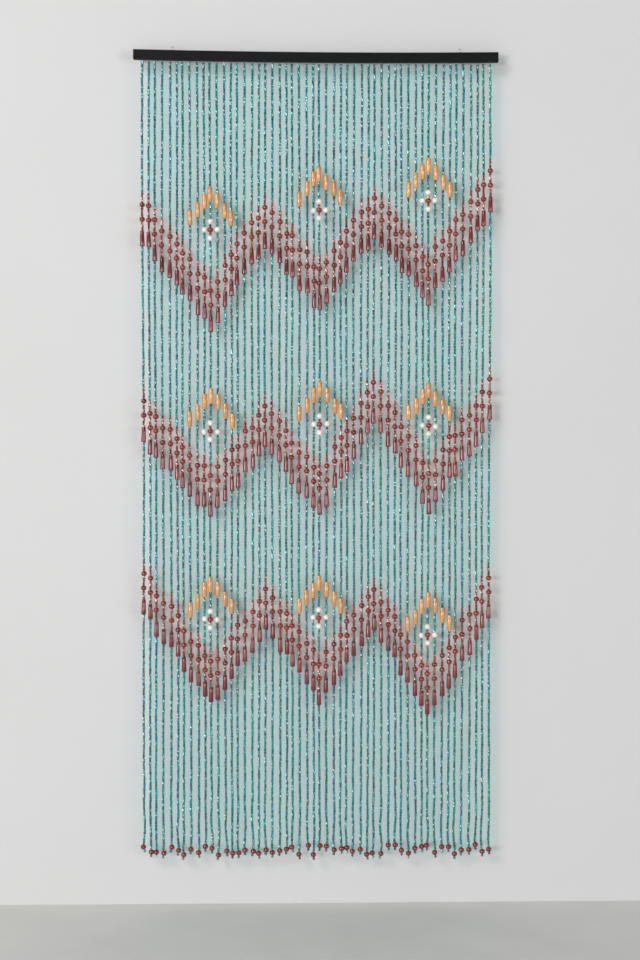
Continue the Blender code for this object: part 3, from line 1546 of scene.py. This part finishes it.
BEAD_FINISHES: dict[BeadKind, MouldedFinish | LacqueredFinish] = {
    BeadKind.TEAL: MouldedFinish(
        name="beads_teal",
        base=(0.005, 0.27, 0.275, 1.0),
        cool=(0.004, 0.225, 0.325, 1.0),
        warm=(0.007, 0.275, 0.215, 1.0),
        unevenness=0.8,
        shiny=0.1,
        dull=0.3,
        coat=0.45,
        lustre=0.4,
        edge=(0.3, 0.95, 0.95, 1.0),
        shadow=(0.62, 0.885, 0.89, 1.0),
    ),
    BeadKind.AMBER: MouldedFinish(
        name="beads_amber",
        base=(0.25, 0.028, 0.016, 1.0),
        cool=(0.22, 0.016, 0.02, 1.0),
        warm=(0.26, 0.075, 0.024, 1.0),
        unevenness=1.0,
        shiny=0.1,
        dull=0.3,
        coat=0.8,
        lustre=0.35,
        edge=(1.0, 0.5, 0.4, 1.0),
        shadow=(0.86, 0.8, 0.78, 1.0),
    ),
    BeadKind.ROUND: LacqueredFinish(
        name="wood_red",
        base=(0.32, 0.024, 0.014, 1.0),
        cool=(0.21, 0.016, 0.014, 1.0),
        warm=(0.38, 0.05, 0.018, 1.0),
        streak=(0.14, 0.015, 0.01, 1.0),
        bare_or_shade=(0.4, 0.22, 0.11, 1.0),
        streaks=0.4,
        unevenness=0.3,
        shiny=0.15,
        dull=0.35,
        coat=0.6,
        coat_blur=0.1,
        lustre=0.35,
    ),
    BeadKind.DROP: LacqueredFinish(
        name="wood_burgundy",
        base=(0.20, 0.02, 0.023, 1.0),
        cool=(0.16, 0.016, 0.021, 1.0),
        warm=(0.25, 0.03, 0.022, 1.0),
        streak=(0.12, 0.018, 0.02, 1.0),
        # Dark colour at the rims of the drop's bore: painted shade, where the shade of the bore
        # falls.
        bare_or_shade=(0.12, 0.05, 0.04, 1.0),
        streaks=0.5,
        unevenness=0.3,
        shiny=0.15,
        dull=0.35,
        coat=0.5,
        coat_blur=0.12,
        lustre=0.35,
    ),
    BeadKind.TUBE: LacqueredFinish(
        name="wood_orange",
        base=(0.77, 0.37, 0.10, 1.0),
        cool=(0.70, 0.30, 0.075, 1.0),
        warm=(0.83, 0.45, 0.15, 1.0),
        streak=(0.5, 0.19, 0.04, 1.0),
        bare_or_shade=(0.62, 0.42, 0.24, 1.0),
        streaks=0.6,
        unevenness=0.2,
        shiny=0.28,
        dull=0.48,
        coat=0.9,
        coat_blur=0.2,
    ),
    BeadKind.CREAM: LacqueredFinish(
        name="wood_cream",
        base=(0.95, 0.93, 0.87, 1.0),
        cool=(0.93, 0.92, 0.90, 1.0),
        warm=(0.95, 0.90, 0.78, 1.0),
        streak=(0.86, 0.80, 0.70, 1.0),
        bare_or_shade=(0.72, 0.62, 0.46, 1.0),
        streaks=0.3,
        unevenness=0.1,
        shiny=0.25,
        dull=0.45,
        coat=0.5,
        coat_blur=0.15,
    ),
}
WALL_FINISH = StageFinish(
    name="studio_wall",
    dark=(0.70, 0.70, 0.70, 1.0),
    light=(0.735, 0.735, 0.74, 1.0),
    clouds=1.5,
    cloud_detail=2.0,
    roughness=0.85,
    mirror=0.2,
    open_behind=True,
)
FLOOR_FINISH = StageFinish(
    name="studio_floor",
    dark=(0.73, 0.72, 0.70, 1.0),
    light=(0.84, 0.83, 0.80, 1.0),
    clouds=6.0,
    cloud_detail=6.0,
    roughness=0.7,
)


class Palette:
    """All materials of the curtain."""

    def __init__(self) -> None:
        """Builds every material from its finish."""
        effects = Effects()
        self.rail = PaintedFinish().build(effects)
        self.eyes = PlatedFinish().build(effects)
        self.thread = ThreadFinish().build()
        self.beads = {kind: finish.build(effects) for kind, finish in BEAD_FINISHES.items()}


def paint(piece: bpy.types.Object, material: bpy.types.Material) -> None:
    """Gives a piece its only material."""
    piece.data.materials.clear()
    piece.data.materials.append(material)


def fit(piece: bpy.types.Object, material: bpy.types.Material, node: str) -> None:
    """Dresses a piece and puts it in the place of one of the part's solids.

    Args:
        piece: the object.
        material: its material.
        node: the solid that it stands for.
    """
    paint(piece, material)
    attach(piece, "root")
    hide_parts(node)


@dataclass(frozen=True)
class Looseness:
    """How loosely strings and beads hang and how their colours drift.

    Args:
        wave: shortest and longest wobble of a thread.
        slack: least and most slack at a thread's lower end.
        hue: how far a string's hue may be off the middle one, either way.
        tilt_spread: spread of the beads' tilt, as a share of their form's tilt.
        depth_share: their slip in depth, as a share of their slip to each side.
        hue_waves: length of each wave of hue along a string, and how many times the string's
            phase it starts at.
        hue_wave: how far each of these waves changes the tint.
        tint_jitter: how far a bead's tint may be off that, either way.
        gloss_power: above 1, it makes most beads shiny and few dull.
        end_beads: how many beads at a string's lower end hang loosest.
        end_tilt: their tilt, in radians.
        end_slip: their slip.
        end_tint: tint of the last round bead.
        end_shade: how light the last round beads are, as a share of the others.
    """

    wave: tuple[float, float] = (90 * MM, 190 * MM)
    slack: tuple[float, float] = (0.3 * MM, 2.4 * MM)
    hue: float = 0.45
    tilt_spread: float = 0.5
    depth_share: float = 0.4
    hue_waves: tuple[tuple[float, float], ...] = ((230 * MM, 1.9), (610 * MM, 3.1))
    hue_wave: float = 0.2
    tint_jitter: float = 0.35
    gloss_power: float = 1.5
    end_beads: int = 2
    end_tilt: float = 0.45
    end_slip: float = 1.6 * MM
    end_tint: float = -0.5
    end_shade: float = 0.6


@dataclass
class BeadStrings:
    """All strings: their threads, seed beads and larger beads, in the groups of the strips.

    Args:
        plan: the curtain's layout.
        palette: the materials.
        loose: how loosely everything hangs.
        seed: seed of what the solids leave open, such as each bead's tilt and tint.
        stop_trim: how much lower than the other seeds the stop under the last bead is.
        thread_radius: radius of the thread.
        thread_sides: faces round it.
        thread_points: how many points its line has.
    """

    plan: CurtainPlan
    palette: Palette
    loose: Looseness = Looseness()
    seed: int = 7
    stop_trim: float = 1.6 * MM
    thread_radius: float = 0.45 * MM
    thread_sides: int = 6
    thread_points: int = 44

    def run_of_seeds(self, top: float, bottom: float, amber: int) -> list[Bead]:
        """Fills a stretch of thread with seed beads that touch each other.

        Args:
            top: the stretch's upper end.
            bottom: its lower end.
            amber: how many of them are amber, counted from the lower end.

        Returns:
            The seed beads, from the top.
        """
        count = max(1, round((top - bottom) / self.plan.seed_height))
        height = (top - bottom) / count
        found = []
        for k in range(count):
            kind = BeadKind.AMBER if k >= count - amber else BeadKind.TEAL
            found.append(Bead(kind, top - k * height, height))
        return found

    def amber_before(self, strand: Strand, position: int) -> int:
        """Counts the amber seeds above one of a strand's larger beads.

        Args:
            strand: the strand.
            position: the larger bead's place in its list.

        Returns:
            Three inside a band's run, all of them inside a flower, and otherwise none.
        """
        bead = strand.beads[position]
        before = strand.beads[position - 1] if position else None
        last = position == len(strand.beads) - 1
        if bead.kind is BeadKind.DROP:
            return self.plan.seeds_between
        if before is not None and before.top - bead.top < 2 * self.plan.flower_reach:
            return self.plan.seeds_between
        if bead.kind is BeadKind.ROUND and not last:
            return self.plan.seeds_between
        return 0

    def beads_of(self, strand: Strand) -> list[Bead]:
        """Lists all beads of a strand.

        Args:
            strand: the strand.

        Returns:
            Its larger beads and the seed beads between them, from the top.
        """
        top = self.plan.rail.underside(strand.x) - self.plan.thread_showing
        found: list[Bead] = []
        for position, bead in enumerate(strand.beads):
            amber = self.amber_before(strand, position)
            found += self.run_of_seeds(top, bead.top, amber)
            found.append(bead)
            top = bead.bottom
        stop = Bead(BeadKind.TEAL, top, self.plan.seed_height - self.stop_trim)
        found.append(stop)
        return found

    def tint_at(self, height: float, line: HangingLine, rng: random.Random) -> float:
        """Draws a bead's tint: its string's hue with slow waves and a jitter of its own.

        Args:
            height: height of the bead's middle.
            line: its thread's line.
            rng: source of the unevenness.

        Returns:
            The tint, about from -1 to 1.
        """
        loose = self.loose
        tint = line.hue
        for length, phases in loose.hue_waves:
            tint += loose.hue_wave * math.sin(FULL_TURN * height / length + phases * line.phase)
        return tint + rng.uniform(-loose.tint_jitter, loose.tint_jitter)

    def place_bead(
        self,
        bead: Bead,
        line: HangingLine,
        at_end: bool,
        rng: random.Random,
    ) -> Placed:
        """Settles one bead on its thread.

        Args:
            bead: the bead.
            line: the thread's line.
            at_end: True for the beads at the strand's lower end.
            rng: source of the unevenness.

        Returns:
            The bead's place, size and colour shares.
        """
        form = FORMS[bead.kind]
        loose = self.loose
        lean_x, lean_y = line.lean(bead.middle)
        tilt = loose.end_tilt if at_end else form.tilt
        slip = loose.end_slip if at_end else form.slip
        turn = Euler(
            (
                -math.atan(lean_y) + rng.gauss(0.0, loose.tilt_spread) * tilt,
                math.atan(lean_x) + rng.gauss(0.0, loose.tilt_spread) * tilt,
                rng.uniform(0.0, FULL_TURN),
            )
        )
        sideways = rng.uniform(-slip, slip)
        into_depth = rng.uniform(-slip, slip) * loose.depth_share
        growth = 1.0 + rng.uniform(-form.growth, form.growth)
        tint = self.tint_at(bead.middle, line, rng)
        shade = rng.random()
        if at_end and bead.kind is BeadKind.ROUND:
            tint = loose.end_tint
            shade *= loose.end_shade
        return Placed(
            middle=line.at(bead.middle) + Vector((sideways, into_depth, 0.0)),
            half=bead.height / 2,
            radius=form.radius * growth,
            turn=turn,
            tint=min(max(tint, -1.0), 1.0),
            shade=shade,
            gloss=rng.random() ** loose.gloss_power,
        )

    def thread_line(self, line: HangingLine) -> list[Vector]:
        """Lists the points of one thread, from inside its strip to its stop.

        Args:
            line: the line that it follows.

        Returns:
            Its points, from the top.
        """
        strand = line.strand
        top = self.plan.rail.underside(strand.x) + self.plan.rail.strip_height / 2
        step = (top - strand.end) / (self.thread_points - 1)
        return [line.at(top - k * step) for k in range(self.thread_points)]

    def build_group(self, number: int, lines: list[HangingLine], rng: random.Random) -> None:
        """Makes the pieces of the strings that share one strip.

        Args:
            number: the strip's number, from 1.
            lines: its strings' lines.
            rng: source of the unevenness.
        """
        node = f"strands_{number}"
        batches = {
            kind: BeadBatch(f"{kind.value}_beads_{number}", form) for kind, form in FORMS.items()
        }
        for line in lines:
            beads = self.beads_of(line.strand)
            for position, bead in enumerate(beads):
                at_end = position >= len(beads) - self.loose.end_beads
                batches[bead.kind].add(self.place_bead(bead, line, at_end, rng))
        for kind, batch in batches.items():
            if batch.placed:
                fit(batch.build(), self.palette.beads[kind], node)
        threads = swept_tube(
            f"threads_{number}",
            [self.thread_line(line) for line in lines],
            self.thread_radius,
            self.thread_sides,
        )
        fit(threads, self.palette.thread, node)
        LOG.info("threads_%d: %d threads", number, len(lines))

    def build(self) -> None:
        """Makes all strings, group by group."""
        rng = random.Random(self.seed)
        lines = []
        for strand in self.plan.strands():
            phase = rng.uniform(0.0, FULL_TURN)
            wave = rng.uniform(*self.loose.wave)
            slack = rng.uniform(*self.loose.slack)
            hue = rng.uniform(-self.loose.hue, self.loose.hue)
            lines.append(HangingLine(self.plan, strand, phase, wave, slack, hue))
        per_strip = self.plan.strand_count // self.plan.strip_count
        for number in range(self.plan.strip_count):
            group = lines[number * per_strip : (number + 1) * per_strip]
            self.build_group(number + 1, group, rng)


@dataclass
class RailFittings:
    """The rail's paint, its two screw eyes, and the knotted strips in its groove.

    Args:
        rail: the rail's sizes.
        palette: the materials.
        eye_x: places of the screw eyes along the rail.
        ring_radius: radius of an eye's ring, to the middle of its wire.
        ring_lift: how high the ring's centre is over the rail's top.
        wire_radius: radius of the wire.
        shank_depth: how deep its shank goes into the rail.
        ring_steps: straight steps round the ring.
        wire_sides: faces round the wire.
        ring_turn: how far round the wire is bent, in radians.
        strip_step: distance between two points of a strip's line.
        strip_sides: faces round a strip.
    """

    rail: RailSizes
    palette: Palette
    eye_x: tuple[float, float] = (-354 * MM, 354 * MM)
    ring_radius: float = 4.0 * MM
    ring_lift: float = 5.3 * MM
    wire_radius: float = 0.85 * MM
    shank_depth: float = 9.0 * MM
    ring_steps: int = 44
    wire_sides: int = 14
    ring_turn: float = math.radians(338)
    strip_step: float = 12 * MM
    strip_sides: int = 10

    def paint_rail(self) -> None:
        """Gives the rail's own solid its paint."""
        paint(bpy.data.objects["rail"], self.palette.rail)
        LOG.info("rail: painted")

    def eye_line(self, x: float) -> list[Vector]:
        """Points of one screw eye's wire: up its shank and round its ring.

        Args:
            x: the eye's place along the rail.

        Returns:
            The wire's middle line.
        """
        y = -self.rail.depth / 2
        centre = self.rail.top(x) + self.ring_lift
        low = self.rail.top(x) - self.shank_depth
        line = [Vector((x, y, low)), Vector((x, y, centre - self.ring_radius - self.wire_radius))]
        for k in range(self.ring_steps + 1):
            turn = self.ring_turn * k / self.ring_steps - math.pi / 2
            reach_x = self.ring_radius * math.cos(turn)
            reach_z = self.ring_radius * math.sin(turn)
            line.append(Vector((x + reach_x, y, centre + reach_z)))
        return line

    def build_eyes(self) -> None:
        """Makes both screw eyes in the place of their solids."""
        for node, x in zip(("eye_left", "eye_right"), self.eye_x):
            eye = swept_tube(f"{node}_wire", [self.eye_line(x)], self.wire_radius, self.wire_sides)
            fit(eye, self.palette.eyes, node)
            LOG.info("%s: bent wire", eye.name)

    def strip_line(self, low_x: float, high_x: float) -> list[Vector]:
        """Lists the points of a strip's middle line, which follows the rail's warp.

        Args:
            low_x: the strip's left end.
            high_x: its right end.

        Returns:
            Its points, from the left.
        """
        start = low_x + self.strip_step / 2
        end = high_x - self.strip_step / 2
        steps = max(2, round((end - start) / self.strip_step))
        line = []
        for k in range(steps + 1):
            x = start + (end - start) * k / steps
            height = self.rail.underside(x) + self.rail.strip_height / 2
            line.append(Vector((x, -self.rail.depth / 2, height)))
        return line

    def build_strips(self, strip_count: int) -> None:
        """Makes the narrow strips that hold the knotted threads in the rail's groove.

        Args:
            strip_count: how many strips there are.
        """
        radius = self.rail.strip_height / 2
        for number in range(1, strip_count + 1):
            node = f"strands_{number}"
            low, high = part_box(node)
            line = self.strip_line(low.x, high.x)
            strip = swept_tube(f"strip_{number}", [line], radius, self.strip_sides)
            fit(strip, self.palette.rail, node)
            LOG.info("%s: %d points", strip.name, len(line))

    def build(self, strip_count: int) -> None:
        """Makes everything that belongs to the rail.

        Args:
            strip_count: how many strips there are.
        """
        self.paint_rail()
        self.build_eyes()
        self.build_strips(strip_count)


@dataclass(frozen=True)
class Lamp:
    """One soft light of the studio.

    Args:
        name: its name.
        place: where it stands.
        aim: the point that it faces.
        size: its width and height.
        power: its power in watts.
        colour: its colour.
    """

    name: str
    place: Point
    aim: Point
    size: tuple[float, float]
    power: float
    colour: tuple[float, float, float]

    def build(self) -> None:
        """Makes the light."""
        data = bpy.data.lights.new(self.name, "AREA")
        data.shape = "RECTANGLE"
        data.size, data.size_y = self.size
        data.energy = self.power
        data.color = self.colour
        lamp = add_object(self.name, data)
        lamp.location = self.place
        lamp.rotation_mode = "QUATERNION"
        facing = Vector(self.aim) - Vector(self.place)
        lamp.rotation_quaternion = facing.to_track_quat("-Z", "Y")
        lamp.visible_camera = False


LAMPS = (
    Lamp(
        name="key",
        place=(-5.4, -9.0, -0.6),
        aim=(4.0, -4.0, -0.9),
        size=(5.0, 2.9),
        power=478.0,
        colour=(1.0, 0.995, 0.98),
    ),
    Lamp(
        name="high",
        place=(-5.0, -6.0, 3.9),
        aim=(0.0, 0.0, -1.6),
        size=(3.4, 3.0),
        power=275.0,
        colour=(1.0, 0.995, 0.98),
    ),
    Lamp(
        name="fill",
        place=(7.0, -7.6, -0.6),
        aim=(0.0, 0.0, -1.2),
        size=(5.0, 3.0),
        power=212.0,
        colour=(0.96, 0.98, 1.0),
    ),
)


@dataclass(frozen=True)
class Studio:
    """The pale wall and floor round the curtain, its lights and the camera.

    Args:
        wall_y: where the wall stands.
        wall_top: height of the wall's top.
        floor_z: height of the floor.
        reach: how far the wall and the floor reach to each side.
        camera_place: where the camera stands.
        camera_pitch: how far it looks down, in radians.
        camera_yaw: how far it is turned to the right, in radians.
        lens: its focal length in millimetres.
        film: the long side of its film in millimetres.
        lamps: its lamps.
        sky: colour of the soft light all round.
        sky_strength: its strength.
    """

    wall_y: float = 26 * MM
    wall_top: float = 3.0
    floor_z: float = -2.111
    reach: float = 8.0
    camera_place: Point = (-0.0878, -3.9806, -0.9276)
    camera_pitch: float = math.radians(1.65)
    camera_yaw: float = math.radians(1.4)
    lens: float = 60.0
    film: float = 36.0
    lamps: tuple[Lamp, ...] = LAMPS
    sky: Colour = (0.93, 0.96, 1.0, 1.0)
    sky_strength: float = 0.15

    def plane(self, name: str, corners: list[Point], finish: StageFinish) -> None:
        """Makes one flat surface of the studio.

        Args:
            name: its name.
            corners: its four corners, anticlockwise as seen from its front.
            finish: its finish.
        """
        surface = mesh_piece(name, corners, [(0, 1, 2, 3)], smooth=False)
        paint(surface, finish.build())

    def build_stage(self) -> None:
        """Makes the wall and the floor."""
        reach = self.reach
        back = self.wall_y
        low = self.floor_z
        high = self.wall_top
        wall = [
            (-reach, back, low),
            (reach, back, low),
            (reach, back, high),
            (-reach, back, high),
        ]
        floor = [
            (-reach, -reach, low),
            (reach, -reach, low),
            (reach, reach, low),
            (-reach, reach, low),
        ]
        self.plane("wall", wall, WALL_FINISH)
        self.plane("floor", floor, FLOOR_FINISH)

    def build_camera(self) -> None:
        """Makes the camera at the photograph's angle."""
        data = bpy.data.cameras.new("view")
        data.lens = self.lens
        data.sensor_width = self.film
        camera = add_object("view", data)
        camera.location = self.camera_place
        camera.rotation_euler = Euler((math.pi / 2 - self.camera_pitch, 0.0, -self.camera_yaw))
        bpy.context.scene.camera = camera

    def build_light(self) -> None:
        """Makes the lamps and the soft light all round."""
        for lamp in self.lamps:
            lamp.build()
        world = bpy.data.worlds.new("soft_light")
        world.use_nodes = True
        background = world.node_tree.nodes["Background"]
        background.inputs["Color"].default_value = self.sky
        background.inputs["Strength"].default_value = self.sky_strength
        bpy.context.scene.world = world
        bpy.context.scene.view_settings.view_transform = "Standard"

    def build(self) -> None:
        """Makes the whole studio."""
        self.build_camera()
        self.build_stage()
        self.build_light()
        LOG.info("studio: camera, wall, floor and %d lamps", len(self.lamps))


def main() -> None:
    """Builds the curtain's looks in order."""
    logging.basicConfig(level=logging.INFO, format="%(name)s: %(message)s")
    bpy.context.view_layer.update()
    plan = CurtainPlan()
    palette = Palette()
    Studio().build()
    RailFittings(plan.rail, palette).build(plan.strip_count)
    BeadStrings(plan, palette).build()
    bpy.context.view_layer.update()


if __name__ == "__main__":
    main()
